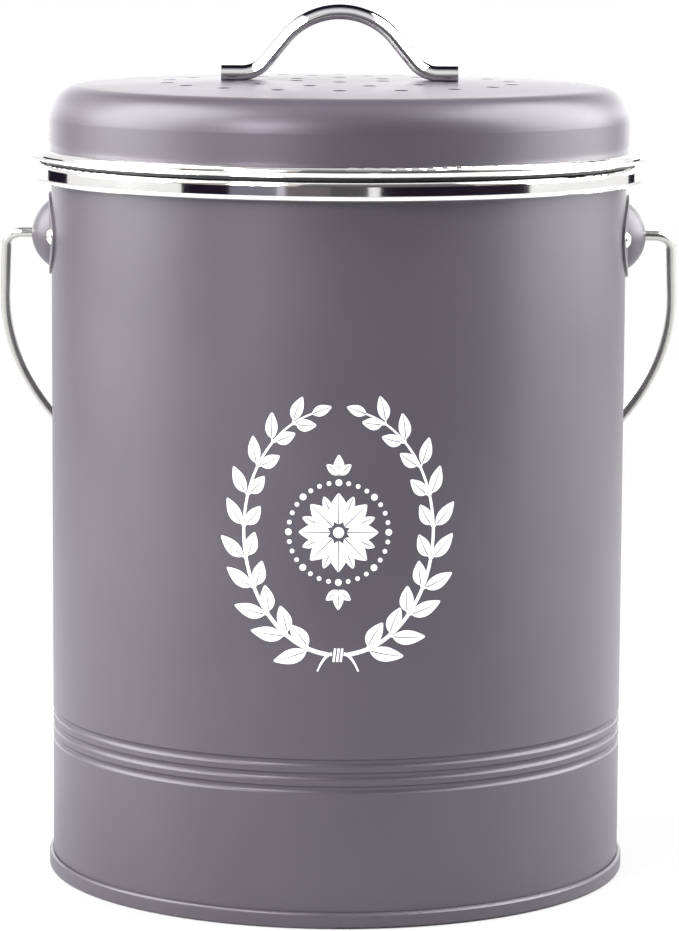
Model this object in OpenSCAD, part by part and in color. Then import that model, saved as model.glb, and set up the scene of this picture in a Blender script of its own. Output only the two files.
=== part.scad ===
// Countertop compost caddy: a powder-coated steel bin with a polished rim, a lift-off lid that
// holds a charcoal filter, a plastic liner that hangs in the mouth, and a wire bail.
// Millimetres, +Z up. The origin is the centre of the base, on the surface it stands on.
// The front of the bin faces -Y, and the bail rests against the back.

/* [Bin] */
// Outer radius of the bin's wall
body_r = 93; // [75:1:115]
// Height of the rim above the surface
body_h = 231.5; // [185:0.5:290]
// Thickness of the coated sheet of the wall
wall_t = 0.7; // [0.5:0.1:1]
// Height of the middle groove above the surface
groove_z = 47.8; // [30:0.1:80]
// Distance from one groove to the next
groove_pitch = 4.2; // [3.5:0.1:8]
// Number of grooves
groove_count = 3; // [0:1:5]
// Depth of a groove
groove_depth = 0.7; // [0.3:0.1:1]
// Radius of the roller that pressed a groove
groove_roller_r = 1.6; // [1.2:0.1:2.5]
// Width of the folded seam at the back
seam_w = 5; // [3:0.5:8]
// How far the seam stands out of the wall
seam_t = 0.5; // [0.3:0.1:0.8]
// Direction of the seam, counted from +X towards +Y
seam_at = 125; // [115:1:150]

/* [Base] */
// Height of the seamed bead round the foot
foot_h = 5.2; // [4:0.1:8]
// How far the bead stands out of the wall
foot_out = 1.3; // [1:0.1:2]
// Thickness of the base sheet
base_t = 0.8; // [0.6:0.1:1.2]
// Height of the base disc above the surface
base_recess = 4; // [2.5:0.1:8]
// Rise of the stiffening panel in the middle of the base
panel_rise = 1.2; // [0.5:0.1:2]

/* [Rim] */
// How far the rim band stands out of the wall
rim_out = 5.1; // [4:0.1:7]
// Height of the rim band
rim_h = 6.4; // [5.5:0.1:9]
// Radius of the band's rounded edges
rim_edge_r = 1.8; // [1:0.1:2.7]
// Thickness of the band's sheet
rim_t = 0.6; // [0.4:0.1:0.8]
// Depth of the band's leg inside the mouth
rim_leg = 10; // [8:0.5:14]

/* [Ears] */
// Drop from the rim to the bail's pivot
ear_drop = 24; // [22:0.5:40]
// Length of the ear plate round the wall
ear_len = 42; // [36:1:56]
// Height of the ear plate
ear_h = 26.6; // [24:0.2:32]
// Radius of the ear plate's two ends
ear_end_r = 9.5; // [8:0.5:10]
// Thickness of the ear's sheet
ear_t = 0.8; // [0.6:0.1:1.2]
// Radius of the dome where it meets the plate
dome_r = 10.7; // [9:0.1:11]
// Height of the dome above the plate
dome_h = 5.8; // [5:0.1:8]
// Distance of a rivet from the middle of the ear
rivet_at = 16.4; // [15:0.1:20]
// Radius of a rivet's head
rivet_head_r = 2.6; // [2:0.1:3]
// Height of a rivet's head
rivet_head_h = 1.5; // [0.8:0.1:1.6]
// Diameter of a rivet's shank
rivet_d = 3; // [2.4:0.1:3.4]

/* [Bail] */
// Diameter of the bail's wire
wire_d = 3.2; // [2.6:0.1:4]
// Distance of the bail's corner outside the wall
bail_out = 14.7; // [13:0.1:20]
// Distance of the bail's arc outside the wall
bail_arc_out = 17; // [15.5:0.1:24]
// Drop from the pivot to the centre of the bail's arc
bail_drop = 35.5; // [30:0.5:60]
// Radius of the bend beside the ear
bend_r = 5.4; // [3:0.1:6]
// Diameter of the upset head that keeps the wire in the dome
wire_head_d = 6; // [5:0.1:7]

/* [Liner] */
// Gap from the rim's leg to the liner at the mouth
liner_gap = 1; // [0.6:0.1:2]
// Thickness of the liner's wall
liner_t = 1.4; // [1:0.1:2]
// How much narrower the liner is at the bottom than at the mouth
liner_draft = 6; // [3:0.5:12]
// Gap under the liner
liner_lift = 7; // [4:0.5:15]
// Outer radius of the liner's bottom corner
liner_corner_r = 8; // [4:0.5:14]
// Thickness of the liner's flange
flange_t = 1.2; // [1:0.1:2]
// Width of a finger slot in the liner
slot_w = 52; // [36:1:60]
// Height of a finger slot
slot_h = 18; // [14:1:20]
// Drop from the rim to the middle of a finger slot
slot_drop = 17.5; // [17:0.5:30]

/* [Lid] */
// Height of the lid above its ring
lid_h = 21.7; // [20.5:0.1:32]
// How far the lid stands out of the bin's wall
lid_out = 0.8; // [0.4:0.1:1.6]
// Thickness of the lid's coated sheet
lid_t = 0.7; // [0.5:0.1:1]
// Radius of the lid's shoulder
shoulder_r = 10.3; // [6:0.1:14]
// Radius of the crown of the lid's top
crown_r = 1800; // [900:50:3600]
// Thickness of the gasket
gasket_t = 2.6; // [2.3:0.1:4]
// How far the lid's bead stands out of the bin's wall
bead_out = 6.7; // [5.5:0.1:8]
// Radius of the lid's rolled bead
bead_r = 1.7; // [1.3:0.1:2]
// Thickness of the polished ring's sheet
ring_t = 0.5; // [0.4:0.1:0.6]
// Depth of the ring's skirt
skirt_h = 9.3; // [6:0.1:11]
// Gap from the liner's mouth to the skirt
skirt_gap = 1.5; // [0.8:0.1:3]
// Diameter of a vent hole
vent_d = 4.5; // [3:0.1:5]
// Radius of the inner ring of vent holes
vent_first = 16; // [14:1:18]
// Distance from one ring of vent holes to the next
vent_pitch = 20; // [16:1:24]

/* [Handle] */
// Radius of the handle's arch along the strap's middle
arch_r = 23.2; // [19:0.2:28]
// Angle of the straight ramps that come down from the arch
ramp_turn = 50.5; // [40:0.5:65]
// Length of each ramp
ramp_len = 10; // [4:0.2:16]
// Radius of the bend above each foot
knee_r = 9.7; // [4:0.1:12]
// Length of each flat foot
foot_len = 6.4; // [6:0.2:14]
// Width of the strap
strap_w = 10.8; // [10:0.2:13]
// Thickness of the strap at its middle line
strap_t = 5; // [4.2:0.1:6]
// Radius of the strap's rounded edges
strap_edge_r = 1.5; // [1:0.1:1.8]
// Diameter of a handle screw
screw_d = 4; // [3:0.5:4]
// Diameter of a handle screw's head
screw_head_d = 8; // [6:0.5:8]

/* [Filter] */
// Room between the bin's wall and the filter's edge
filter_room = 26; // [24:0.5:34]
// Thickness of the filter pad
filter_t = 9; // [5:0.5:10]
// Thickness of the cage's wall and floor
cage_t = 1.6; // [1.2:0.1:2]
// Number of spokes in the cage
spoke_count = 10; // [6:1:16]
// Width of a spoke
spoke_w = 2.6; // [2:0.1:4]
// Angle that the cage turns to come free
twist = 25; // [20:1:30]
// Width of the seat's bar under the lid
bar_w = 11; // [10:0.5:11]

/* [Fits] */
// Gap between the bail and its hole in the dome
bail_play = 0.1; // [0.05:0.01:0.3]
// Gap between the bail and the wall it rests on
bail_rest_gap = 0.3; // [0.2:0.05:1]
// Gap round a rivet or screw shank
shank_play = 0.05; // [0.02:0.01:0.1]
// Gap between the cage and its seat
cage_play = 0.35; // [0.3:0.05:0.6]
// Gap between the filter pad and the cage
pad_play = 0.2; // [0.1:0.05:0.5]

/* [Hidden] */
$fn = 96;
cut = 1; // how far a cutting shape runs past what it cuts
bend_draw = 0.02; // how much a bend draws the metal in, all round
bend_join = 0.2; // how far a bend runs on into the straight length beside it

paint = "#8d8890";
polished = "#d9dadb";
black_plastic = "#26272a";

// Bin
wall_in_r = body_r - wall_t;
groove_axis_r = body_r - groove_depth + groove_roller_r;
groove_first_z = groove_z - groove_pitch * (groove_count - 1) / 2;
groove_zs = [for (i = [0 : 1 : groove_count - 1]) groove_first_z + i * groove_pitch];
wall_foot_z = base_t;
wall_top_gap = 1; // over the wall's edge, inside the rim band
wall_top_z = body_h - rim_t - wall_top_gap;
seam_end_gap = 1;
seam_angle = seam_w / body_r * 180 / PI;
foot_edge_r = 0.9;
base_lip_r = wall_in_r - base_t;
panel_room = 33; // from the wall to the raised panel
panel_r = body_r - panel_room;
panel_slope = 3;

// Rim
rim_r = body_r + rim_out;
rim_foot_z = body_h - rim_h;
rim_in_r = wall_in_r - rim_t;

// Ears
ear_z = body_h - ear_drop;
plate_r = body_r + ear_t;
dome_ball_r = (dome_r * dome_r + dome_h * dome_h) / (2 * dome_h);
dome_axis_r = plate_r + dome_h - dome_ball_r;
rivet_angle = asin(rivet_at / body_r);
rivet_ball_r = (rivet_head_r * rivet_head_r + rivet_head_h * rivet_head_h) / (2 * rivet_head_h);
rivet_tail_t = 0.8;
rivet_tail_inset = 0.3; // how much smaller than the head the tail is, all round
rivet_tail_r = rivet_head_r - rivet_tail_inset;
tail_gap = 0.05; // lets the rivet's flat tail clear the hollow side of the wall

// Ear plate: an oval of four arcs, with small arcs at the ends and large ones above and below
ear_end_x = ear_len / 2 - ear_end_r;
ear_side_r = (ear_end_x * ear_end_x + ear_h * ear_h / 4 - ear_end_r * ear_end_r)
    / (ear_h - 2 * ear_end_r);
ear_joint_x = ear_end_x * ear_side_r / (ear_side_r - ear_end_r);

// Bail, in its own plane: the leg is a line from the corner that touches the arc
wire_r = wire_d / 2;
bail_w = body_r + bail_out;
bail_arc_r = body_r + bail_arc_out;
corner_reach = sqrt(bail_w * bail_w + bail_drop * bail_drop);
splay = atan2(bail_drop, bail_w) - acos(bail_arc_r / corner_reach);
bend_reach = bend_r * tan((90 - splay) / 2);
bend_x = bail_w - bend_reach;
leg_top = [bend_x + bend_r * cos(splay), bend_r * sin(splay) - bend_r];
leg_foot = [bail_arc_r * cos(splay), bail_arc_r * sin(splay) - bail_drop];
bail_rest = asin((body_r + wire_r + bail_rest_gap) / (bail_drop + bail_arc_r));
wire_head_t = 1.4;
wire_head_gap = 2.6; // from the head to the top of the dome's inside
wire_tip = 0.8; // length of wire past the head
wire_head_x = plate_r + dome_h - ear_t - wire_head_gap - wire_head_t;
wire_end_x = wire_head_x - wire_tip;

// Liner
liner_top_r = rim_in_r - liner_gap;
liner_foot_r = liner_top_r - liner_draft;
liner_foot_z = base_recess + base_t + panel_rise + liner_lift;
flange_inset = 2.7; // from the rim's edge to the edge of the liner's flange
flange_r = rim_r - flange_inset;
flange_top_z = body_h + flange_t;
slot_z = body_h - slot_drop;

// Lid
ring_z = flange_top_z + gasket_t;
ring_top_z = ring_z + ring_t;
lid_r = body_r + lid_out;
lid_top_z = ring_top_z + lid_h;
skirt_r = liner_top_r - liner_t - skirt_gap;
bead_axis_r = body_r + bead_out - bead_r;
bead_axis_z = ring_top_z - bead_r;
gasket_inset = 0.4; // from the edge of the liner's flange
gasket_r = flange_r - gasket_inset;
gasket_edge_r = 0.8;

// Handle: an arch, two ramps and two knees follow one another along the strap's middle.
// The strap's round top runs smoothly into its rounded edges
strap_edge_y = strap_w / 2 - strap_edge_r;
strap_edge_z = strap_edge_r - strap_t / 2;
strap_ball_r = (strap_edge_y * strap_edge_y + strap_t * strap_t - 2 * strap_t * strap_edge_r)
    / (2 * strap_t - 4 * strap_edge_r);
foot_in_x = (arch_r + knee_r) * sin(ramp_turn) + ramp_len * cos(ramp_turn);
arch_rise = (arch_r + knee_r) * (1 - cos(ramp_turn)) + ramp_len * sin(ramp_turn);
handle_z = under_crown(foot_in_x, lid_top_z, crown_r);
foot_middle_z = handle_z + strap_t / 2;
arch_axis_z = foot_middle_z + arch_rise - arch_r;
ramp_from = [arch_r * sin(ramp_turn), arch_axis_z + arch_r * cos(ramp_turn)];
screw_x = foot_in_x + foot_len / 2;
screw_r = screw_d / 2;
screw_bite = 3.2; // how far a screw reaches into the foot
screw_end_gap = 0.4;
screw_head_h = 2.2;
screw_recess_len = screw_head_d * 0.6;
screw_recess_w = 1;
screw_recess_depth = 1.2;
washer_r = screw_head_d / 2 + 1;
washer_t = 0.8;

// Filter seat and cage
filter_r = body_r - filter_room;
cage_in_r = filter_r + pad_play;
cage_r = cage_in_r + cage_t;
lug_out = 3;
lug_r = cage_r + lug_out;
lug_h = 2.4;
lug_angle = 14;
lug_count = 3;
seat_in_r = cage_r + cage_play;
seat_groove_r = lug_r + cage_play;
seat_t = 2; // thickness of the seat's wall behind the groove
seat_r = seat_groove_r + seat_t;
lead_room = 4; // angle by which a lead-in is wider than a lug
lead_angle = lug_angle + lead_room;
lead_inset = 0.1; // how much shallower than the groove a lead-in is
lead_r = seat_groove_r - lead_inset;
stop_angle = 2;
stop_gap = 1; // angle between a lug and its stop
bar_t = 1.6;
inner_top_z = lid_top_z - lid_t;
inner_crown_r = crown_r - lid_t;
seat_top_z = under_crown(seat_r, inner_top_z, inner_crown_r);
boss_inset = 0.6; // from the bar's edge to a screw's boss
boss_r = bar_w / 2 - boss_inset;
boss_top_z = under_crown(screw_x + boss_r, inner_top_z, inner_crown_r);
bar_z = seat_top_z - bar_t;
screw_head_z = bar_z - washer_t - screw_head_h;
filter_head_gap = 0.5; // from the screws' heads to the filter pad
filter_top_z = screw_head_z - filter_head_gap;
filter_z = filter_top_z - filter_t;
cage_z = filter_z - cage_t;
cage_rim_drop = 0.8; // from the pad's top to the cage's rim
cage_top_z = filter_top_z - cage_rim_drop;
lug_drop = 1; // from the cage's rim to its lugs
lug_z = cage_top_z - lug_drop - lug_h;
seat_lip_h = 3; // height of the lip that carries the lugs
seat_z = lug_z - cage_play - seat_lip_h;
hub_r = 12;
ledge_w = 6.5;
cage_ring_w = 2.4;
cage_ring_rs = [hub_r + (cage_in_r - ledge_w - hub_r) / 3, hub_r + (cage_in_r - ledge_w - hub_r) * 2 / 3];
grip_len = 34;
grip_w = 5;
grip_h = 4;
vent_rings = floor((filter_r - vent_d - vent_first) / vent_pitch) + 1;

// Height of a crowned surface at a distance from the axis
function under_crown(distance, top, crown) = top - crown + sqrt(crown * crown - distance * distance);

// A plain band of a turned section, from one radius and height to another
module band(inner, outer, low, high) {
    translate([inner, low]) square([outer - inner, high - low]);
}

// A turned block that covers only part of the circle
module sector(inner, outer, low, high, from, width) {
    rotate([0, 0, from]) rotate_extrude(angle = width) band(inner, outer, low, high);
}

// A section carried round a bend, from one angle through another, and on into its neighbours
module bend(radius, from, turn) {
    run_on = bend_join / radius * 180 / PI;
    rotate([0, 0, from - run_on]) rotate_extrude(angle = turn + 2 * run_on)
        translate([radius, 0]) children();
}

module bucket_wall() {
    color(paint) difference() {
        union() {
            rotate_extrude() wall_section();
            sector(body_r - wall_t / 2, body_r + seam_t, foot_h + seam_end_gap, rim_foot_z - seam_end_gap,
                seam_at - seam_angle / 2, seam_angle);
        }
        for (side = [0, 180]) rotate([0, 0, side]) ear_rivet_holes();
        seam_grooves();
    }
}

module wall_section() {
    difference() {
        union() {
            band(wall_in_r, body_r, wall_foot_z, wall_top_z);
            for (z = groove_zs) groove_back(z);
        }
        for (z = groove_zs) translate([groove_axis_r, z]) circle(groove_roller_r);
    }
}

// The inner side of a pressed groove bulges into the bin
module groove_back(z) {
    back_r = groove_roller_r + wall_t;
    intersection() {
        translate([groove_axis_r, z]) circle(back_r);
        band(groove_axis_r - back_r - cut, body_r, z - back_r, z + back_r);
    }
}

// The grooves run on through the seam
module seam_grooves() {
    rotate_extrude() for (z = groove_zs) translate([groove_axis_r, z]) circle(groove_roller_r);
}

module bucket_base() {
    color(paint) rotate_extrude() difference() {
        union() {
            base_sheet_section();
            band(base_lip_r, body_r + foot_out - foot_edge_r, 0, foot_h);
            band(base_lip_r, body_r + foot_out, foot_edge_r, foot_h - foot_edge_r);
            for (z = [foot_edge_r, foot_h - foot_edge_r])
                translate([body_r + foot_out - foot_edge_r, z]) circle(foot_edge_r);
        }
        band(wall_in_r, body_r, wall_foot_z, foot_h + cut);
        band(base_lip_r - cut, wall_in_r + cut, base_recess + base_t, foot_h + cut);
    }
}

// The base sheet, with its raised panel
module base_sheet_section() {
    low = base_recess;
    top = base_recess + base_t;
    polygon([
        [0, low + panel_rise], [panel_r, low + panel_rise], [panel_r + panel_slope, low],
        [base_lip_r + base_t / 2, low], [base_lip_r + base_t / 2, top], [panel_r + panel_slope, top],
        [panel_r, top + panel_rise], [0, top + panel_rise]
    ]);
}

module rim_band() {
    color(polished) rotate_extrude() difference() {
        union() {
            rounded_outer(rim_in_r, rim_r, rim_foot_z, body_h, rim_edge_r);
            band(rim_in_r, wall_in_r, body_h - rim_leg, body_h - rim_edge_r);
        }
        rounded_outer(wall_in_r, rim_r - rim_t, rim_foot_z + rim_t, body_h - rim_t, rim_edge_r - rim_t);
        band(wall_in_r, body_r, rim_foot_z - cut, wall_top_z);
    }
}

// A turned section whose two outer edges are rounded
module rounded_outer(inner, outer, low, high, edge_r) {
    band(inner, outer - edge_r, low, high);
    band(inner, outer, low + edge_r, high - edge_r);
    for (z = [low + edge_r, high - edge_r]) translate([outer - edge_r, z]) circle(edge_r);
}

module left_ear() {
    color(paint) mirror([1, 0, 0]) ear();
}

module right_ear() {
    color(paint) ear();
}

module ear() {
    difference() {
        translate([0, 0, ear_z]) difference() {
            union() {
                intersection() {
                    rotate([90, 0, 90]) linear_extrude(plate_r + cut) ear_outline();
                    translate([0, 0, -ear_h]) cylinder(r = plate_r, h = 2 * ear_h);
                }
                intersection() {
                    translate([dome_axis_r, 0, 0]) sphere(dome_ball_r);
                    translate([body_r / 2, -ear_h, -ear_h]) cube([body_r, 2 * ear_h, 2 * ear_h]);
                }
            }
            translate([dome_axis_r, 0, 0]) sphere(dome_ball_r - ear_t);
            translate([0, 0, -ear_h]) cylinder(r = body_r, h = 2 * ear_h);
            translate([plate_r, 0, 0]) rotate([0, 90, 0]) cylinder(r = wire_r + bail_play, h = 2 * dome_h);
        }
        ear_rivet_holes();
    }
}

// The lens between two large arcs, cut off where the end arcs take over
module ear_outline() {
    for (side = [1, -1]) translate([side * ear_end_x, 0]) circle(ear_end_r);
    intersection() {
        translate([0, ear_h / 2 - ear_side_r]) circle(ear_side_r);
        translate([0, ear_side_r - ear_h / 2]) circle(ear_side_r);
        square([2 * ear_joint_x, ear_h + cut], center = true);
    }
}

module ear_rivet_holes() {
    for (side = [1, -1]) rotate([0, 0, side * rivet_angle]) translate([wall_in_r - cut, 0, ear_z])
        rotate([0, 90, 0]) cylinder(r = rivet_d / 2 + shank_play, h = wall_t + ear_t + 2 * cut);
}

module left_ear_rivets() {
    color(polished) rotate([0, 0, 180]) ear_rivets();
}

module right_ear_rivets() {
    color(polished) ear_rivets();
}

module ear_rivets() {
    for (side = [1, -1]) rotate([0, 0, side * rivet_angle]) translate([0, 0, ear_z]) rivet();
}

// A rivet along +X: domed head on the ear, shank through both sheets, flat tail inside the bin
module rivet() {
    tail_x = wall_in_r - tail_gap - rivet_tail_t;
    intersection() {
        translate([plate_r + rivet_head_h - rivet_ball_r, 0, 0]) sphere(rivet_ball_r);
        translate([plate_r, -rivet_head_r, -rivet_head_r])
            cube([2 * rivet_head_h, 2 * rivet_head_r, 2 * rivet_head_r]);
    }
    rotate([0, 90, 0]) {
        translate([0, 0, tail_x]) cylinder(r = rivet_d / 2, h = plate_r + rivet_head_h / 2 - tail_x);
        translate([0, 0, tail_x]) cylinder(r = rivet_tail_r, h = rivet_tail_t);
    }
}

module bail() {
    color(polished) translate([0, 0, ear_z]) rotate([bail_rest, 0, 0]) {
        translate([0, 0, -bail_drop]) rotate([90, 0, 0]) bend(bail_arc_r, 180 - splay, 180 + 2 * splay)
            circle(wire_r - bend_draw);
        bail_side();
        mirror([1, 0, 0]) bail_side();
    }
}

// One end of the bail: leg, bend beside the ear, stub into the dome, and its upset head
module bail_side() {
    translate([leg_top[0], 0, leg_top[1]]) rotate([0, 180 - splay, 0])
        cylinder(r = wire_r, h = norm(leg_foot - leg_top));
    translate([bend_x, 0, -bend_r]) rotate([90, 0, 0]) bend(bend_r, splay, 90 - splay)
        circle(wire_r - bend_draw);
    rotate([0, 90, 0]) {
        translate([0, 0, wire_end_x]) cylinder(r = wire_r, h = bend_x - wire_end_x);
        translate([0, 0, wire_head_x]) cylinder(d = wire_head_d, h = wire_head_t);
    }
}

module liner() {
    color("#55585a") difference() {
        rotate_extrude() difference() {
            union() {
                pail_section(liner_top_r, liner_foot_r, flange_top_z, liner_foot_z, liner_corner_r);
                band(liner_top_r - liner_t, flange_r, body_h, flange_top_z);
            }
            pail_section(liner_top_r - liner_t, liner_foot_r - liner_t, flange_top_z + cut,
                liner_foot_z + liner_t, liner_corner_r - liner_t);
        }
        translate([0, 0, slot_z]) rotate([90, 0, 0]) finger_slot();
    }
}

// Half of a pail's section: a leaning wall and a bottom corner that is round and meets both
module pail_section(top_r, foot_r, top_z, foot_z, corner_r) {
    lean = atan2(top_r - foot_r, top_z - foot_z);
    corner_x = foot_r + corner_r * tan(lean) - corner_r / cos(lean);
    corner = [corner_x, foot_z + corner_r];
    polygon([
        [0, foot_z], [corner[0], foot_z], corner, corner + corner_r * [cos(lean), -sin(lean)],
        [top_r, top_z], [0, top_z]
    ]);
    translate(corner) circle(corner_r);
}

// A slot with round ends, right through the liner from front to back
module finger_slot() {
    reach = (slot_w - slot_h) / 2;
    for (side = [1, -1]) translate([side * reach, 0, 0]) cylinder(d = slot_h, h = 2 * rim_r, center = true);
    cube([2 * reach, slot_h, 2 * rim_r], center = true);
}

module lid_shell() {
    color(paint) difference() {
        rotate_extrude() difference() {
            lid_section(lid_r, lid_top_z, crown_r, shoulder_r, ring_top_z);
            lid_section(lid_r - lid_t, inner_top_z, inner_crown_r, shoulder_r - lid_t, ring_top_z - cut);
        }
        vent_holes();
        screw_places() cylinder(r = screw_r + shank_play, h = lid_top_z + cut);
    }
}

// Half of the lid's section: crown, shoulder and wall, each meeting the next smoothly
module lid_section(wall_r, top_z, crown, shoulder, low) {
    shoulder_x = wall_r - shoulder;
    crown_axis_z = top_z - crown;
    shoulder_z = crown_axis_z + sqrt(pow(crown - shoulder, 2) - shoulder_x * shoulder_x);
    meet_x = shoulder_x * crown / (crown - shoulder);
    band(0, wall_r, low, shoulder_z);
    intersection() {
        translate([shoulder_x, shoulder_z]) circle(shoulder);
        band(0, wall_r + cut, shoulder_z, top_z);
    }
    intersection() {
        translate([0, crown_axis_z]) circle(crown, $fn = 1440);
        band(0, meet_x, shoulder_z, top_z);
    }
}

module vent_holes() {
    for (ring = [0 : 1 : vent_rings - 1]) {
        holes = 6 * (ring + 1);
        for (i = [0 : 1 : holes - 1]) rotate([0, 0, (i + 0.5) * 360 / holes])
            translate([vent_first + ring * vent_pitch, 0, ring_top_z]) cylinder(d = vent_d, h = lid_h + cut);
    }
}

module screw_places() {
    for (side = [1, -1]) translate([side * screw_x, 0, 0]) children();
}

module lid_rim() {
    color(polished) rotate_extrude() {
        band(skirt_r - ring_t, bead_axis_r, ring_z, ring_top_z);
        band(skirt_r - ring_t, skirt_r, ring_top_z - skirt_h, ring_top_z);
        translate([bead_axis_r, bead_axis_z]) rolled_bead();
    }
}

// The rolled edge: a curl that starts at the ring's flange and stops short of it
module rolled_bead() {
    curl_gap = 1;
    difference() {
        circle(bead_r);
        circle(bead_r - ring_t);
        translate([-bead_r - cut, bead_r - ring_t - curl_gap]) square([bead_r + cut, curl_gap]);
    }
}

module lid_gasket() {
    color("#3a3b3d") rotate_extrude() {
        rounded_outer(skirt_r, gasket_r, flange_top_z, ring_z, gasket_edge_r);
    }
}

module lid_handle() {
    color(polished) difference() {
        union() {
            translate([0, 0, arch_axis_z]) rotate([90, 0, 0]) bend(arch_r, 90 - ramp_turn, 2 * ramp_turn)
                strap_section(1, bend_draw);
            handle_side();
            mirror([1, 0, 0]) handle_side();
        }
        screw_places() translate([0, 0, handle_z - cut])
            cylinder(r = screw_r + shank_play, h = cut + screw_bite + screw_end_gap);
    }
}

// One end of the handle: ramp, knee and flat foot
module handle_side() {
    translate([ramp_from[0], 0, ramp_from[1]]) rotate([0, ramp_turn, 0]) straight_strap(ramp_len);
    translate([foot_in_x, 0, foot_middle_z + knee_r]) rotate([90, 0, 0])
        bend(knee_r, 270 - ramp_turn, ramp_turn) strap_section(-1, bend_draw);
    translate([foot_in_x, 0, foot_middle_z]) straight_strap(foot_len);
}

// A straight length of strap along +X, round side up
module straight_strap(length) {
    rotate([90, 0, 90]) linear_extrude(length) rotate([0, 0, 90]) strap_section(1, 0);
}

// The strap's section about its middle, with the round side towards +X or -X
module strap_section(round_side, drawn_in) {
    top_r = strap_ball_r - drawn_in;
    meet_y = top_r * strap_edge_y / (strap_ball_r - strap_edge_r);
    rotate(round_side > 0 ? 0 : 180) {
        intersection() {
            translate([strap_t / 2 - strap_ball_r, 0]) circle(top_r);
            translate([strap_edge_z, -meet_y]) square([strap_t, 2 * meet_y]);
        }
        translate([drawn_in - strap_t / 2, -strap_edge_y])
            square([strap_edge_r - drawn_in, 2 * strap_edge_y]);
        for (side = [1, -1]) translate([strap_edge_z, side * strap_edge_y]) circle(strap_edge_r - drawn_in);
    }
}

module handle_screws() {
    color(polished) screw_places() difference() {
        union() {
            translate([0, 0, screw_head_z]) cylinder(d = screw_head_d, h = screw_head_h);
            translate([0, 0, screw_head_z]) cylinder(r = screw_r, h = handle_z + screw_bite - screw_head_z);
        }
        for (turn = [0, 90]) rotate([0, 0, turn]) translate([0, 0, screw_head_z])
            cube([screw_recess_len, screw_recess_w, 2 * screw_recess_depth], center = true);
    }
}

module handle_washers() {
    color(polished) screw_places() translate([0, 0, bar_z - washer_t]) difference() {
        cylinder(r = washer_r, h = washer_t);
        translate([0, 0, -cut]) cylinder(r = screw_r + shank_play, h = washer_t + 2 * cut);
    }
}

module filter_seat() {
    color(black_plastic) difference() {
        union() {
            sector(seat_in_r, seat_r, seat_z, seat_top_z, 0, 360);
            translate([-seat_in_r - cut, -bar_w / 2, bar_z]) cube([2 * (seat_in_r + cut), bar_w, bar_t]);
            screw_places() translate([0, 0, bar_z]) cylinder(r = boss_r, h = boss_top_z - bar_z);
        }
        seat_slots();
        screw_places() cylinder(r = screw_r + shank_play, h = lid_top_z);
    }
}

// The groove that the cage's lugs turn in, its lead-ins, and the stops left standing in it
module seat_slots() {
    low = lug_z - cage_play;
    high = lug_z + lug_h + cage_play;
    stop_from = -lug_angle / 2 - stop_gap - stop_angle;
    for (i = [0 : 1 : lug_count - 1]) {
        turn = i * 360 / lug_count;
        sector(seat_in_r - cut, seat_groove_r, low, high, turn + stop_from + stop_angle,
            360 / lug_count - stop_angle);
        sector(seat_in_r - cut, lead_r, seat_z - cut, lug_z, turn + twist - lead_angle / 2, lead_angle);
    }
}

module filter_cage() {
    color(black_plastic) union() {
        sector(cage_in_r, cage_r, cage_z, cage_top_z, 0, 360);
        sector(cage_in_r - ledge_w, cage_in_r + cage_t / 2, cage_z, filter_z, 0, 360);
        for (r = cage_ring_rs) sector(r - cage_ring_w / 2, r + cage_ring_w / 2, cage_z, filter_z, 0, 360);
        translate([0, 0, cage_z]) cylinder(r = hub_r, h = cage_t);
        for (i = [0 : 1 : spoke_count - 1]) rotate([0, 0, i * 360 / spoke_count])
            translate([0, -spoke_w / 2, cage_z]) cube([cage_in_r - ledge_w / 2, spoke_w, cage_t]);
        for (i = [0 : 1 : lug_count - 1]) sector(cage_r - cage_t / 2, lug_r, lug_z, lug_z + lug_h,
            i * 360 / lug_count - lug_angle / 2, lug_angle);
        grip();
    }
}

// The finger grip under the hub that the cage is turned by
module grip() {
    reach = (grip_len - grip_w) / 2;
    translate([0, 0, cage_z - grip_h]) {
        translate([-reach, -grip_w / 2, 0]) cube([2 * reach, grip_w, grip_h + cage_t / 2]);
        for (side = [1, -1]) translate([side * reach, 0, 0]) cylinder(d = grip_w, h = grip_h + cage_t / 2);
    }
}

module charcoal_filter() {
    color("#17181a") translate([0, 0, filter_z]) cylinder(r = filter_r, h = filter_t);
}

bucket_wall();
bucket_base();
rim_band();
left_ear();
right_ear();
left_ear_rivets();
right_ear_rivets();
bail();
liner();
lid_shell();
lid_rim();
lid_gasket();
lid_handle();
handle_screws();
handle_washers();
filter_seat();
filter_cage();
charcoal_filter();
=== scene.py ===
# %% [markdown]
# # A countertop compost bin
# The bin was built and measured as solids before this lesson starts. Here it gets its looks: paint,
# polished steel, wire, plastic, a print on the front, and a small studio to see them in.
# Every length is in metres, +Z is up, and the front of the bin faces -Y.
# We first load the finished solids. They stay where they are, and their shapes don't change.

# %% Load the bin
import math

import bmesh
import bpy
from mathutils import Matrix, Vector


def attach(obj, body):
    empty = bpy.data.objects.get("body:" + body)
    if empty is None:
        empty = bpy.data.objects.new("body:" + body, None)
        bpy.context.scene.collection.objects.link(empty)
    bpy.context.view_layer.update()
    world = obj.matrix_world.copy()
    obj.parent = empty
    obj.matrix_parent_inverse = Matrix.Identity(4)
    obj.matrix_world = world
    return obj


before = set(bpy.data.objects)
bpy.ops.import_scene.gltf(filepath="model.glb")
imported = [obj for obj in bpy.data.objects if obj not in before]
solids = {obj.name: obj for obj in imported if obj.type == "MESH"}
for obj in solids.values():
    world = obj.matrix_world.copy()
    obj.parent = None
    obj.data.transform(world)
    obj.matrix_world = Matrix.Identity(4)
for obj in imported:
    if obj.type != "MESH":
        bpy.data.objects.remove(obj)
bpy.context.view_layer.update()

MM = 0.001

# %% [markdown]
# ## The camera
# A camera with a long lens stood about 1.3 m in front of the bin, a little above it, and looked
# slightly down. We build its turn from three plain steps: look along +Y, pitch down, roll a little.

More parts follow.
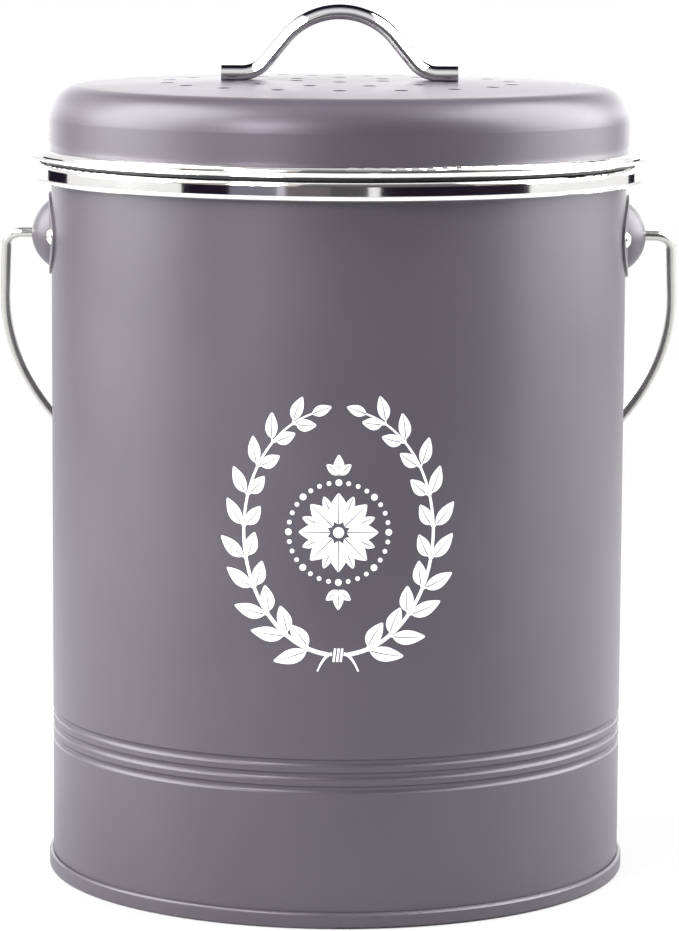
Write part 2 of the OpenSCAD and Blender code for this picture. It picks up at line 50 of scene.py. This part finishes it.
# %% Place the camera
SENSOR = 36.0
PHOTO_SIZE = (679, 931)
FOCAL_PIXELS = 4144.1
CAMERA_AT = Vector((0.00066, -1.34225, 0.31977))
PITCH = math.radians(7.978)
ROLL = math.radians(-0.331)

eye = bpy.data.cameras.new("photo_camera")
eye.sensor_width = SENSOR
eye.lens = FOCAL_PIXELS * SENSOR / PHOTO_SIZE[1]
eye.clip_start, eye.clip_end = 0.05, 50
camera = bpy.data.objects.new("photo_camera", eye)
bpy.context.scene.collection.objects.link(camera)
look_down = Matrix.Rotation(math.radians(90) - PITCH, 4, "X")
camera.matrix_world = Matrix.Translation(CAMERA_AT) @ look_down @ Matrix.Rotation(-ROLL, 4, "Z")
bpy.context.scene.camera = camera
print("lens", round(eye.lens, 2), "mm")


# %% [markdown]
# ## Tools for finishes
# A finish is a small network of nodes. We wrap the few that we use often, so that each finish reads
# like a recipe: take a grain, spread it between two values, and feed it to the shader.

# %% Start a finish
def new_finish(name, metal=0.0, gloss=0.5):
    """A new finish: its material, its node tree and its main shader."""
    finish = bpy.data.materials.new(name)
    finish.use_nodes = True
    tree = finish.node_tree
    shader = tree.nodes["Principled BSDF"]
    shader.inputs["Metallic"].default_value = metal
    shader.inputs["Specular IOR Level"].default_value = gloss
    return finish, tree, shader


# %% Where a point lies on the bin
def place(tree, stretch=(1, 1, 1)):
    """The point's place on the bin in metres, stretched along X, Y and Z."""
    coordinates = tree.nodes.new("ShaderNodeTexCoord")
    mapping = tree.nodes.new("ShaderNodeMapping")
    mapping.inputs["Scale"].default_value = stretch
    tree.links.new(coordinates.outputs["Object"], mapping.inputs["Vector"])
    return mapping.outputs["Vector"]


# %% A grain of soft lumps
def grain(tree, size, detail=2.0, stretch=(1, 1, 1), rough=0.5):
    """Soft lumps about one size across, from 0 to 1."""
    noise = tree.nodes.new("ShaderNodeTexNoise")
    noise.inputs["Scale"].default_value = 1 / size
    noise.inputs["Detail"].default_value = detail
    noise.inputs["Roughness"].default_value = rough
    tree.links.new(place(tree, stretch), noise.inputs["Vector"])
    return noise.outputs["Fac"]


# %% Spread a value between two others
def spread(tree, value, low, high, start=0.3, end=0.7):
    """Turns start..end of a value into low..high."""
    ranged = tree.nodes.new("ShaderNodeMapRange")
    for key, number in (("From Min", start), ("From Max", end), ("To Min", low), ("To Max", high)):
        ranged.inputs[key].default_value = number
    tree.links.new(value, ranged.inputs["Value"])
    return ranged.outputs["Result"]


# %% Mix two colours by a value
def blend_colours(tree, value, first, second):
    """Goes from the first colour to the second as the value goes from 0 to 1."""
    mix = tree.nodes.new("ShaderNodeMix")
    mix.data_type = "RGBA"
    for socket, colour in zip(("A", "B"), (first, second)):
        target = next(i for i in mix.inputs if i.name == socket and i.type == "RGBA")
        if isinstance(colour, tuple):
            target.default_value = (*colour, 1)
        else:
            tree.links.new(colour, target)
    tree.links.new(value, mix.inputs["Factor"])
    return next(o for o in mix.outputs if o.type == "RGBA")


# %% Join two values or two shaders
def combine(tree, operation, first, second):
    """One value from two, by a piece of plain maths such as MAXIMUM or MULTIPLY."""
    node = tree.nodes.new("ShaderNodeMath")
    node.operation = operation
    tree.links.new(first, node.inputs[0])
    tree.links.new(second, node.inputs[1])
    return node.outputs[0]


def choose(tree, value, first, second):
    """The first shader where the value is 0, and the second where it is 1."""
    node = tree.nodes.new("ShaderNodeMixShader")
    for socket, source in zip(node.inputs, (value, first, second)):
        tree.links.new(source, socket)
    return node.outputs[0]


# %% Raise a surface by a value
def emboss(tree, shader, *heights):
    """Bumps the shader's surface by pairs of a value and a depth in metres."""
    normal = None
    for value, depth in heights:
        bump = tree.nodes.new("ShaderNodeBump")
        bump.inputs["Distance"].default_value = depth
        tree.links.new(value, bump.inputs["Height"])
        if normal:
            tree.links.new(normal, bump.inputs["Normal"])
        normal = bump.outputs["Normal"]
    tree.links.new(normal, shader.inputs["Normal"])


# %% Give a finish to solids
def coat(finish, *names):
    """Puts one finish on each named solid."""
    for name in names:
        solids[name].data.materials.clear()
        solids[name].data.materials.append(finish)


# %% [markdown]
# ## Powder coat
# The wall, foot, ears and lid wear a satin powder coat. It is baked on, so it has a faint skin like
# an orange's, about a millimetre from lump to lump. Its colour drifts a little where it is thicker.

# %% Make the powder coat
COAT_DARK = (0.053, 0.046, 0.058)
COAT_LIGHT = (0.064, 0.056, 0.070)
SPECK_SHARE = 0.35  # how much of the colour's drift comes from the fine specks

coated_steel, tree, shader = new_finish("coated_steel", metal=0.1, gloss=0.58)
cloud = grain(tree, 0.045, detail=3)
speck = grain(tree, 0.0007, detail=1)
coat_mix = tree.nodes.new("ShaderNodeMath")
coat_mix.operation = "MULTIPLY_ADD"
coat_mix.inputs[1].default_value = SPECK_SHARE
tree.links.new(speck, coat_mix.inputs[0])
tree.links.new(spread(tree, cloud, 0.1, 0.65), coat_mix.inputs[2])
coat_colour = blend_colours(tree, coat_mix.outputs[0], COAT_DARK, COAT_LIGHT)
tree.links.new(coat_colour, shader.inputs["Base Color"])
tree.links.new(spread(tree, cloud, 0.36, 0.41), shader.inputs["Roughness"])
emboss(tree, shader, (grain(tree, 0.0011, detail=2), 0.000008), (speck, 0.000003))
coat(coated_steel, "bucket_wall", "bucket_base", "left_ear", "right_ear", "lid_shell")
print("powder coat on the wall, foot, ears and lid")

# %% [markdown]
# ## Polished steel
# The rim, the lid's ring, the handle and the rivets are polished steel. Even a good polish keeps
# hair-fine lines and a few wiped smudges, so the roughness is low but never even.

# %% Make the polish
POLISH_DARK, POLISH_LIGHT = (0.80, 0.79, 0.775), (0.87, 0.865, 0.855)

polished_steel, tree, shader = new_finish("polished_steel", metal=1.0)
smear = grain(tree, 0.02, detail=4, rough=0.65)
hairline = grain(tree, 0.0016, detail=3, stretch=(0.12, 0.12, 5))
tree.links.new(
    blend_colours(tree, smear, POLISH_DARK, POLISH_LIGHT), shader.inputs["Base Color"]
)
tree.links.new(spread(tree, smear, 0.045, 0.10), shader.inputs["Roughness"])
emboss(tree, shader, (hairline, 0.0000012))
coat(
    polished_steel,
    "rim_band", "lid_rim", "lid_handle", "left_ear_rivets", "right_ear_rivets",
    "handle_screws", "handle_washers",
)
print("polish on the rim, ring, handle, rivets, screws and washers")

# %% [markdown]
# ## Drawn wire
# The bail is nickel-plated wire. Drawing leaves fine lines along it, which the plating softens.

# %% Make the wire's finish
WIRE_DARK, WIRE_LIGHT = (0.44, 0.44, 0.415), (0.54, 0.54, 0.51)

bright_wire, tree, shader = new_finish("bright_wire", metal=1.0)
tarnish = grain(tree, 0.012, detail=3)
draw_lines = grain(tree, 0.0007, detail=2, stretch=(1, 0.2, 0.2))
tree.links.new(
    blend_colours(tree, tarnish, WIRE_DARK, WIRE_LIGHT), shader.inputs["Base Color"]
)
tree.links.new(spread(tree, tarnish, 0.20, 0.27), shader.inputs["Roughness"])
emboss(tree, shader, (draw_lines, 0.000004))
coat(bright_wire, "bail")
print("drawn wire on the bail")

# %% [markdown]
# ## Moulded plastics
# The liner, the gasket and the filter's seat and cage are moulded. Their moulds were spark-etched,
# which leaves a fine matte skin. The liner is a shade lighter than the black of the cage, and the
# rubber of the gasket is the darkest and dullest of them.

# %% Make the plastics
SKIN_SPREAD = 0.06  # how far the roughness strays to each side


def moulded(name, dark, light, roughness, skin, gloss=0.45):
    """A matte moulded plastic with an etched skin of one grain size."""
    finish, tree, shader = new_finish(name, gloss=gloss)
    etch = grain(tree, skin, detail=2, rough=0.6)
    flow = grain(tree, 0.03, detail=3)
    tree.links.new(blend_colours(tree, flow, dark, light), shader.inputs["Base Color"])
    dull = spread(tree, etch, roughness - SKIN_SPREAD, roughness + SKIN_SPREAD)
    tree.links.new(dull, shader.inputs["Roughness"])
    emboss(tree, shader, (etch, 0.00002), (flow, 0.00006))
    return finish


liner_plastic = moulded(
    "liner_plastic", (0.055, 0.056, 0.060), (0.075, 0.076, 0.080), 0.5, 0.0006
)
black_plastic = moulded(
    "black_plastic", (0.016, 0.016, 0.018), (0.026, 0.026, 0.028), 0.42, 0.0005
)
gasket_rubber = moulded(
    "gasket_rubber", (0.005, 0.005, 0.005), (0.010, 0.010, 0.009), 0.75, 0.0009, gloss=0.12
)
coat(liner_plastic, "liner")
coat(black_plastic, "filter_seat", "filter_cage")
coat(gasket_rubber, "lid_gasket")
print("plastic on the liner, seat and cage, rubber on the gasket")

# %% [markdown]
# ## Charcoal pad
# The filter is an open foam full of charcoal grains. Cells that touch give the look of open foam:
# each cell is a pit painted dark as shade, and its edge is a thin strut left lighter.

# %% Make the foam
CELL = 0.0016
# The pits' near-black is painted shade, not a colour of the foam.
PIT_SHADE, STRUT = (0.004, 0.004, 0.004), (0.045, 0.044, 0.043)

charcoal_foam, tree, shader = new_finish("charcoal_foam", gloss=0.3)
cells = tree.nodes.new("ShaderNodeTexVoronoi")
cells.inputs["Scale"].default_value = 1 / CELL
tree.links.new(place(tree), cells.inputs["Vector"])
pits = spread(tree, cells.outputs["Distance"], 0, 1, start=0.1, end=0.6)
# Painted shade: the middle of each cell is darkened toward the pit's colour.
tree.links.new(blend_colours(tree, pits, PIT_SHADE, STRUT), shader.inputs["Base Color"])
shader.inputs["Roughness"].default_value = 0.9
emboss(tree, shader, (pits, 0.0006), (grain(tree, 0.0005), 0.0001))
coat(charcoal_foam, "charcoal_filter")
print("foam on the filter, with cells of", CELL / MM, "mm")


# %% [markdown]
# ## The print on the front
# The front wears a screen print in white ink. A screen print is a real layer: the ink stands a few
# hundredths of a millimetre proud of the paint. So we draw each shape flat, as a strip of ink, and
# wrap it round the wall. A picture of the print would blur up close, and a bump has no edge.

# %% Wrap flat shapes round the wall
WALL_R = 93 * MM
INK_FOOT, INK_FACE = 0.005 * MM, 0.06 * MM
ink = bmesh.new()


def wrap(point, out):
    """A flat point, across and up in millimetres, laid on the front of the wall."""
    turn = point[0] * MM / WALL_R
    reach = WALL_R + out
    return reach * math.sin(turn), -reach * math.cos(turn), point[1] * MM


def ink_strip(one_side, other_side):
    """A closed strip of ink between two lines of points that run the same way."""
    rows = [
        [ink.verts.new(wrap(p, out)) for out in (INK_FOOT, INK_FACE) for p in pair]
        for pair in zip(one_side, other_side)
    ]
    for (a, b, top_a, top_b), (c, d, top_c, top_d) in zip(rows, rows[1:]):
        ink.faces.new((top_a, top_b, top_d, top_c))
        ink.faces.new((a, c, d, b))
        ink.faces.new((a, top_a, top_c, c))
        ink.faces.new((b, d, top_d, top_b))
    for a, b, top_a, top_b in (rows[0], rows[-1]):
        ink.faces.new((a, b, top_b, top_a))


def direction(turn):
    """A step of one millimetre at an angle, counted from the right, in degrees."""
    return Vector((math.cos(math.radians(turn)), math.sin(math.radians(turn))))


DOT_SIDES = 18


def ink_dot(middle, radius):
    """A round spot of ink."""
    rings = []
    for out in (INK_FOOT, INK_FACE):
        rings.append([
            ink.verts.new(wrap(middle + radius * direction(360 * i / DOT_SIDES), out))
            for i in range(DOT_SIDES)
        ])
    for ring in rings:
        ink.faces.new(ring)
    for i in range(DOT_SIDES):
        ink.faces.new((rings[0][i], rings[0][i - 1], rings[1][i - 1], rings[1][i]))


# %% Draw leaves and stems
VEIN = 0.34  # the bare line along the middle of a leaf
LEAF_STEPS = 14
LEAF_TIP_W = 0.05  # half the width that is left at a leaf's point


def leaf(foot, turn, length, width, curl=0.0):
    """A pointed leaf in two halves, curled to one side."""
    along, aside = direction(turn), direction(turn + 90)
    for side in (1, -1):
        inner, outer = [], []
        for i in range(LEAF_STEPS + 1):
            u = i / LEAF_STEPS
            spine = foot + along * length * u + aside * curl * length * u * u
            vein = side * VEIN / 2 * (1 - 0.5 * u)
            belly = math.sin(math.pi * u ** 0.82) ** 0.9  # widest a little before the middle
            blade = side * (LEAF_TIP_W + width / 2 * belly)
            inner.append(spine + aside * vein)
            outer.append(spine + aside * (vein + blade))
        ink_strip(inner, outer)


def stem(points, first_width, last_width):
    """A line of ink along points, with a width that goes from the first to the last."""
    left, right = [], []
    for i, point in enumerate(points):
        ahead = points[min(i + 1, len(points) - 1)] - points[max(i - 1, 0)]
        aside = Vector((-ahead.y, ahead.x)).normalized()
        width = first_width + (last_width - first_width) * i / (len(points) - 1)
        left.append(point + aside * width / 2)
        right.append(point - aside * width / 2)
    ink_strip(left, right)


# %% [markdown]
# The print is a wreath of two leafy branches. They start side by side under the middle and climb an
# upright oval. Their leaves grow in pairs that shrink towards the top. The inner leaf of each pair
# is the shorter one, and each branch ends in a single leaf.

# %% Grow the wreath
WREATH_MIDDLE = Vector((0.5, 124))
WREATH_HALF = (29.5, 38.0)
BRANCH_FROM, BRANCH_TO = -84, 74
BRANCH_STEPS = 60
BRANCH_W, BRANCH_TIP_W = 1.35, 0.55
PAIRS = 10
FIRST_PAIR, LAST_PAIR = BRANCH_FROM + 11, BRANCH_TO - 13
LEAF_L, LEAF_L_LOSS = 10.6, 3.0
LEAF_W, LEAF_W_LOSS = 4.3, 0.9
INNER_SHARE = 0.8
LEAF_FOOT = 1.3  # from the branch to the foot of a leaf


def on_oval(turn, mirror):
    """A point of the oval, and the way that a branch grows there."""
    t = math.radians(turn)
    a, b = WREATH_HALF
    point = WREATH_MIDDLE + Vector((mirror * a * math.cos(t), b * math.sin(t)))
    ahead = Vector((-mirror * a * math.sin(t), b * math.cos(t)))
    return point, math.degrees(math.atan2(ahead.y, ahead.x))


climb = BRANCH_TO - BRANCH_FROM
turns = [BRANCH_FROM + climb * i / BRANCH_STEPS for i in range(BRANCH_STEPS + 1)]
for mirror in (1, -1):
    stem([on_oval(turn, mirror)[0] for turn in turns], BRANCH_W, BRANCH_TIP_W)
    for pair in range(PAIRS):
        age = pair / (PAIRS - 1)
        foot, grows = on_oval(FIRST_PAIR + (LAST_PAIR - FIRST_PAIR) * age, mirror)
        for side in (1, -1):
            outside = side * mirror < 0
            lean = (42 if outside else 38) + 5 * math.sin(3.1 * pair + side)
            length = (LEAF_L - LEAF_L_LOSS * age) * (1.0 if outside else INNER_SHARE)
            way = grows + side * lean
            step = direction(way)
            width = LEAF_W - LEAF_W_LOSS * age
            leaf(foot + step * LEAF_FOOT, way, length, width, curl=-0.10 * side)
            stem([foot, foot + step * 0.8, foot + step * 1.7], 0.55, 0.45)
    tip, grows = on_oval(BRANCH_TO, mirror)
    leaf(tip, grows, 6.2, 3.0)
print("wreath drawn:", len(ink.faces), "faces")

# %% [markdown]
# In the middle sits a rosette: eight petals, a bud between each two, a ring of dots, and a sprig
# above and below. A tie holds the two branches together at the foot.

# %% Draw the rosette and the tie
PETALS, RING_DOTS = 8, 32
RING_R, SPRIG_AT = 15.4, 17.6
SMALL_DOT, BIG_DOT = 0.72, 1.05

for i in range(PETALS):
    turn = 90 + 360 * i / PETALS
    leaf(WREATH_MIDDLE + direction(turn) * 2.6, turn, 9.6, 5.4)
    between = turn + 180 / PETALS
    leaf(WREATH_MIDDLE + direction(between) * 7.4, between, 4.6, 2.2)
ink_dot(WREATH_MIDDLE, 1.7)
for i in range(RING_DOTS):
    dot_at = WREATH_MIDDLE + direction(360 * i / RING_DOTS) * RING_R
    ink_dot(dot_at, SMALL_DOT if i % 4 else BIG_DOT)
for side in (1, -1):
    sprig = WREATH_MIDDLE + Vector((0, SPRIG_AT * side))
    leaf(sprig, 90 * side, 6.4, 3.0)
    for lean in (52, -52):
        leaf(sprig + direction(90 * side) * 0.4, 90 * side + lean, 4.8, 2.4)

tie = on_oval(-90, 1)[0]
for step in (-1.1, 0, 1.1):  # three turns of string
    stem([tie + Vector((step + 0.25 * bow, 2.1 * bow)) for bow in (-1, -0.5, 0, 0.5, 1)], 0.7, 0.7)
for mirror in (1, -1):  # its two loose ends
    curve = [tie + Vector((mirror * (1.8 + 0.9 * i), -0.22 * i * i + 0.4)) for i in range(6)]
    stem(curve, 1.1, 0.5)
print("rosette, sprigs and tie drawn, now", len(ink.faces), "faces in all")

# %% Make the print one piece
bmesh.ops.recalc_face_normals(ink, faces=ink.faces)
print_mesh = bpy.data.meshes.new("front_print")
ink.to_mesh(print_mesh)
ink.free()
front_print = bpy.data.objects.new("front_print", print_mesh)
bpy.context.scene.collection.objects.link(front_print)
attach(front_print, "bucket")
print("the print has", len(print_mesh.polygons), "faces")

# %% [markdown]
# The ink is a little chalky. Its cover is never quite even, so the paint's grey shows through by a
# hair, and the screen's mesh leaves a fine tooth.

# %% Make the ink
INK_THIN, INK_THICK = (0.80, 0.80, 0.84), (0.90, 0.90, 0.93)

white_ink, tree, shader = new_finish("white_ink", gloss=0.4)
cover = grain(tree, 0.004, detail=4, rough=0.6)
ink_colour = blend_colours(tree, spread(tree, cover, 0, 1), INK_THIN, INK_THICK)
tree.links.new(ink_colour, shader.inputs["Base Color"])
tree.links.new(spread(tree, cover, 0.42, 0.54), shader.inputs["Roughness"])
emboss(tree, shader, (grain(tree, 0.0005, detail=2), 0.000006))
print_mesh.materials.append(white_ink)
print("ink on the print")

# %% [markdown]
# ## The studio
# The bin stands on a pale sweep with a soft box at each side, one at the front left, one behind and
# one above. The world is white where it is seen directly or in a mirror, and everywhere else it is
# a weak plain light that fills the shadows.

# %% Make the world
world = bpy.data.worlds.new("studio")
bpy.context.scene.world = world
world.use_nodes = True
tree = world.node_tree
tree.nodes.clear()
output = tree.nodes.new("ShaderNodeOutputWorld")
seen, ambient = (tree.nodes.new("ShaderNodeBackground") for _ in range(2))
seen.inputs["Color"].default_value = (1, 1, 1, 1)
seen.inputs["Strength"].default_value = 1
ambient.inputs["Color"].default_value = (0.96, 0.96, 1, 1)
ambient.inputs["Strength"].default_value = 0.34
path = tree.nodes.new("ShaderNodeLightPath").outputs
mirrored = combine(tree, "MAXIMUM", path["Is Glossy Ray"], path["Is Transmission Ray"])
direct = combine(tree, "MAXIMUM", path["Is Camera Ray"], mirrored)
tree.links.new(choose(tree, direct, ambient.outputs[0], seen.outputs[0]), output.inputs["Surface"])
bpy.context.scene.view_settings.view_transform = "Standard"
print("world set, with plain light of", round(ambient.inputs["Strength"].default_value, 2))


# %% Lay the floor
def stage_sheet(name, corners):
    """A flat sheet between corners, which isn't part of the bin."""
    mesh = bpy.data.meshes.new(name)
    mesh.from_pydata([tuple(c) for c in corners], [], [tuple(range(len(corners)))])
    made = bpy.data.objects.new(name, mesh)
    bpy.context.scene.collection.objects.link(made)
    return made


FLOOR_HALF = 12.0
SWEEP_DARK, SWEEP_LIGHT = (0.42, 0.42, 0.42), (0.46, 0.46, 0.46)

floor = stage_sheet("floor", [
    (-FLOOR_HALF, -FLOOR_HALF, 0), (FLOOR_HALF, -FLOOR_HALF, 0),
    (FLOOR_HALF, FLOOR_HALF, 0), (-FLOOR_HALF, FLOOR_HALF, 0),
])
sweep, tree, shader = new_finish("white_sweep", gloss=0.2)
shader.inputs["Roughness"].default_value = 0.8
sweep_colour = blend_colours(tree, grain(tree, 0.3), SWEEP_DARK, SWEEP_LIGHT)
tree.links.new(sweep_colour, shader.inputs["Base Color"])
print("floor laid,", 2 * FLOOR_HALF, "m across")

# %% [markdown]
# Close to the bin the floor shows its soft shadow. Further out it fades to the same white as the
# world, so no horizon shows behind the bin. In mirrors the fade starts further out, so that the rim
# still mirrors a grey table. A camera below the floor looks through it and sees the lid's underside
# once the lid is up. The foot of the bin stays black from there, because the floor still shades it.

# %% Fade the floor to white
SHADOW_NEAR, SHADOW_FAR = 0.12, 0.34
MIRROR_NEAR, MIRROR_FAR = 0.9, 1.6
FADE_FROM = 0.55  # how white the floor is already under the bin

white = tree.nodes.new("ShaderNodeEmission")
white.inputs["Color"].default_value = (1, 1, 1, 1)
distance = tree.nodes.new("ShaderNodeVectorMath")
distance.operation = "LENGTH"
tree.links.new(place(tree), distance.inputs[0])
away = distance.outputs["Value"]
near_fade = spread(tree, away, FADE_FROM, 1, start=SHADOW_NEAR, end=SHADOW_FAR)
far_fade = spread(tree, away, 0, 1, start=MIRROR_NEAR, end=MIRROR_FAR)
path = tree.nodes.new("ShaderNodeLightPath").outputs
seen_white = combine(tree, "MULTIPLY", path["Is Camera Ray"], near_fade)
mirror_white = combine(tree, "MULTIPLY", path["Is Glossy Ray"], far_fade)
whiten = combine(tree, "MAXIMUM", seen_white, mirror_white)
from_above = choose(tree, whiten, shader.outputs[0], white.outputs[0])
clear = tree.nodes.new("ShaderNodeBsdfTransparent")
below = tree.nodes.new("ShaderNodeNewGeometry").outputs["Backfacing"]
one_sided = choose(tree, below, from_above, clear.outputs[0])
tree.links.new(one_sided, tree.nodes["Material Output"].inputs["Surface"])
floor.data.materials.append(sweep)
print("floor fades to white from", SHADOW_NEAR, "to", SHADOW_FAR, "m")


# %% [markdown]
# Each lamp is a soft box. The two big ones at the sides draw the bright bands on the paint, the one
# at the front left adds the faint band near the middle, and the others light the lid and the floor.

# %% Hang the lamps
def soft_box(name, at, target, size, power, colour=(1, 1, 1)):
    """A rectangular lamp that faces a point, and that no camera sees."""
    lamp = bpy.data.lights.new(name, "AREA")
    lamp.shape = "RECTANGLE"
    lamp.size, lamp.size_y = size
    lamp.energy = power
    lamp.color = colour
    made = bpy.data.objects.new(name, lamp)
    bpy.context.scene.collection.objects.link(made)
    made.location = at
    made.rotation_euler = (Vector(target) - Vector(at)).to_track_quat("-Z", "Y").to_euler()
    made.visible_camera = False
    print(name, "gives", power, "W")


BIN_MIDDLE, BIN_UPPER, LID_MIDDLE = (0, 0, 0.14), (0, 0, 0.20), (0, 0, 0.25)
LILAC, COOL = (0.95, 0.91, 1), (0.93, 0.95, 1)
soft_box("left_soft_box", (-0.85, -0.05, 0.70), BIN_MIDDLE, (0.85, 1.2), 31)
soft_box("right_soft_box", (0.85, 0.12, 0.70), BIN_MIDDLE, (1.1, 1.2), 36)
soft_box("front_left_soft_box", (-0.66, -1.10, 0.70), BIN_UPPER, (0.42, 0.65), 16, LILAC)
soft_box("back_soft_box", (0, 1.35, 0.36), LID_MIDDLE, (2.2, 0.5), 9)
soft_box("top_soft_box", (0, -0.10, 1.5), BIN_MIDDLE, (1.6, 0.75), 7, COOL)


# %% [markdown]
# ### Cards
# Low cards stand in a ring round the table, and only glossy surfaces see them. The dark cards are
# the black patches in the band under the lid, the grey and brown ones are its dim patches, and the
# gaps between them are its white ones. Two higher cards at the back meet the dark sheet that hangs
# over them, and with it they draw the black line along the top of the handle.

# %% Stand the cards
CARD_R = 1.45
DARK_ROOM = (0.012, 0.008, 0.018)
CARD_STEP = 3  # degrees from one fold of a card to the next


def only_in_mirrors(made, shade):
    """Lets a card or sheet show only in glossy surfaces, in one shade, and gives its node tree."""
    surface = bpy.data.materials.new(made.name)
    surface.use_nodes = True
    tree = surface.node_tree
    tree.nodes.clear()
    glow = tree.nodes.new("ShaderNodeEmission")
    glow.inputs["Color"].default_value = (*shade, 1)
    end = tree.nodes.new("ShaderNodeOutputMaterial")
    tree.links.new(glow.outputs[0], end.inputs["Surface"])
    made.data.materials.append(surface)
    made.visible_camera = made.visible_diffuse = made.visible_shadow = False
    made.visible_transmission = False
    return tree, glow


def card(name, start, end, low=0.02, high=0.30, shade=DARK_ROOM, radius=CARD_R):
    """A curved card from one direction to another, counted from the camera's side, in degrees."""
    steps = max(2, int(abs(end - start) / CARD_STEP))
    points = []
    for i in range(steps + 1):
        turn = math.radians(start + (end - start) * i / steps)
        x, y = radius * math.sin(turn), -radius * math.cos(turn)
        points += [(x, y, low), (x, y, high)]
    mesh = bpy.data.meshes.new(name)
    mesh.from_pydata(points, [], [(2 * i, 2 * i + 2, 2 * i + 3, 2 * i + 1) for i in range(steps)])
    made = bpy.data.objects.new(name, mesh)
    bpy.context.scene.collection.objects.link(made)
    return only_in_mirrors(made, shade)


card("left_gap_card", -139, -120)
card("left_front_card", -58.5, -39.5)
card("grey_card", -39.5, -22, shade=(0.20, 0.19, 0.24))
card("pale_card", -22, -19, shade=(0.60, 0.57, 0.64))
card("brown_card", -19, -3, shade=(0.155, 0.135, 0.145))
card("middle_card", -3, 10.5, shade=(0.085, 0.08, 0.085))
card("right_front_card", 14.5, 73)
card("right_gap_card", 137, 146.5)
card("back_card", 110, 215, low=1.2, high=1.62)
card("right_back_card", 105, 165, low=0.95, high=1.2)
print("cards stand", CARD_R, "m out")

# %% [markdown]
# ### Sheets and veils
# Two sheets hang over the table. The dark one is at the back. The dusk sheet under it is dark at
# the back, bright over the bin and grey at the front, so the handle's round edge shades off softly.
# A pale veil stands in front, above the cards. A darker one before it, right of the middle, keeps
# the front of the bin and of the handle dim.

# %% Shade a card or sheet from end to end
def shade_along(made, axis, start, end, first, last):
    """Shades a card along an axis, from the first colour at start to the last colour at end."""
    tree, glow = made
    split = tree.nodes.new("ShaderNodeSeparateXYZ")
    tree.links.new(place(tree), split.inputs[0])
    share = spread(tree, split.outputs[axis], 0, 1, start=start, end=end)
    shade = blend_colours(tree, share, first, last)
    tree.links.new(shade, glow.inputs["Color"])
    return shade


# %% Hang the sheets
DARK_Z, DARK_FRONT, DARK_BACK = 1.62, 0.46, 1.5
DUSK_Z, DUSK_FRONT, DUSK_PEAK, DUSK_BACK = 1.47, -0.80, -0.08, 0.42
DUSK_GREY, DUSK_BRIGHT = (0.34, 0.33, 0.35), (0.93, 0.93, 0.96)
DUSK_DARK = (0.05, 0.05, 0.06)
SHEET_LEFT, SHEET_RIGHT = -0.8, 2.2


def hang(name, front, back, height):
    """A level sheet over the table, which shows only in mirrors."""
    sheet = stage_sheet(name, [
        (SHEET_LEFT, front, height), (SHEET_RIGHT, front, height),
        (SHEET_RIGHT, back, height), (SHEET_LEFT, back, height),
    ])
    return only_in_mirrors(sheet, DARK_ROOM)


hang("dark_sheet", DARK_FRONT, DARK_BACK, DARK_Z)
dusk_sheet = hang("dusk_sheet", DUSK_FRONT, DUSK_BACK, DUSK_Z)
dusk = shade_along(dusk_sheet, "Y", DUSK_FRONT, DUSK_PEAK, DUSK_GREY, DUSK_BRIGHT)
shade_along(dusk_sheet, "Y", DUSK_PEAK, DUSK_BACK, dusk, DUSK_DARK)
print("sheets hung at", DARK_Z, "and", DUSK_Z, "m")

# %% Hang the veils
VEIL_FOOT, VEIL_TOP = 0.30, 2.4
VEIL_SHADE, VEIL_LIGHT = (0.40, 0.355, 0.32), (1.0, 0.985, 0.97)
HIGH_SHADE, HIGH_LIGHT = (0.10, 0.092, 0.10), (0.34, 0.33, 0.35)
VEIL_GAP = 0.02  # from the ring of cards out to the pale veil

high_card = card("high_card", -15, 50, low=VEIL_FOOT, high=VEIL_TOP)
shade_along(high_card, "Z", VEIL_FOOT, VEIL_TOP, HIGH_SHADE, HIGH_LIGHT)
veil = card("veil", -100, 100, low=VEIL_FOOT, high=VEIL_TOP, radius=CARD_R + VEIL_GAP)
shade_along(veil, "Z", VEIL_FOOT, VEIL_TOP, VEIL_SHADE, VEIL_LIGHT)
print("veils hung from", VEIL_FOOT, "to", VEIL_TOP, "m")
